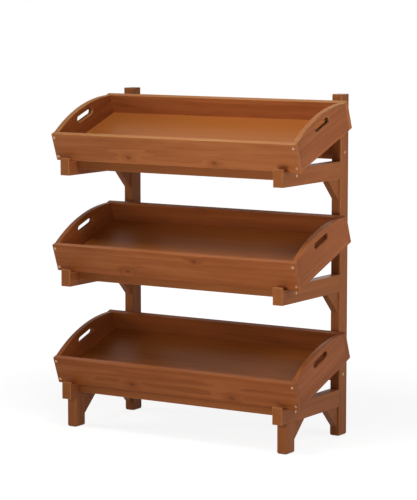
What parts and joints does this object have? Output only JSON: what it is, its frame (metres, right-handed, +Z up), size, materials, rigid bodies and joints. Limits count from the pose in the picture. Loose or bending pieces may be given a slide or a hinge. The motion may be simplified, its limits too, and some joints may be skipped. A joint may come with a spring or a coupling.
{
  "type": "tiered fruit display stand",
  "caption": "Stained timber display stand whose notched arms carry sloping lift-out trays with arched ends and hand-holds, for fruit and vegetables.",
  "frame": {"origin": "on the floor, under the middle of the stand's width and depth", "axes": "+X to the right along the trays, +Y to the back where the posts are, +Z up"},
  "size_m": [1, 0.4538, 1.2025],
  "materials": {
    "frame_timber": "pine stained red-brown under satin lacquer",
    "tray_board": "pine stained warm brown under satin lacquer, edges rubbed paler",
    "tray_panel": "edge-glued pine panel, stained warm brown under satin lacquer",
    "screw": "bright zinc-plated countersunk screws"
  },
  "bodies": {
    "stand": {"post_left": "frame_timber", "post_right": "frame_timber", "leg_left": "frame_timber", "leg_right": "frame_timber", "leg_gusset_left": "frame_timber", "leg_gusset_right": "frame_timber", "arm_bottom_left": "frame_timber", "arm_bottom_right": "frame_timber", "arm_middle_left": "frame_timber", "arm_middle_right": "frame_timber", "arm_top_left": "frame_timber", "arm_top_right": "frame_timber", "gusset_bottom_left": "frame_timber", "gusset_bottom_right": "frame_timber", "gusset_middle_left": "frame_timber", "gusset_middle_right": "frame_timber", "gusset_top_left": "frame_timber", "gusset_top_right": "frame_timber", "rest_bottom_left": "frame_timber", "rest_bottom_right": "frame_timber", "rest_middle_left": "frame_timber", "rest_middle_right": "frame_timber", "rest_top_left": "frame_timber", "rest_top_right": "frame_timber", "slat_bottom": "frame_timber", "slat_middle": "frame_timber", "slat_top": "frame_timber", "rear_rail_bottom": "frame_timber", "rear_rail_top": "frame_timber", "arm_screws": "screw", "slat_screws": "screw", "rail_screws": "screw", "rest_screws": "screw"},
    "bottom_tray": {"tray_bottom_front_board": "tray_board", "tray_bottom_back_board": "tray_board", "tray_bottom_end_left": "tray_board", "tray_bottom_end_right": "tray_board", "tray_bottom_panel": "tray_panel", "tray_bottom_screws": "screw"},
    "middle_tray": {"tray_middle_front_board": "tray_board", "tray_middle_back_board": "tray_board", "tray_middle_end_left": "tray_board", "tray_middle_end_right": "tray_board", "tray_middle_panel": "tray_panel", "tray_middle_screws": "screw"},
    "top_tray": {"tray_top_front_board": "tray_board", "tray_top_back_board": "tray_board", "tray_top_end_left": "tray_board", "tray_top_end_right": "tray_board", "tray_top_panel": "tray_panel", "tray_top_screws": "screw"}
  },
  "joints": [
    {"name": "bottom_tray_lift", "type": "slide", "parent": "stand", "child": "bottom_tray", "axis": [0, -0.342, 0.9397], "range_m": [0, 0.12]},
    {"name": "middle_tray_lift", "type": "slide", "parent": "stand", "child": "middle_tray", "axis": [0, -0.342, 0.9397], "range_m": [0, 0.12]},
    {"name": "top_tray_lift", "type": "slide", "parent": "stand", "child": "top_tray", "axis": [0, -0.342, 0.9397], "range_m": [0, 0.2]}
  ]
}
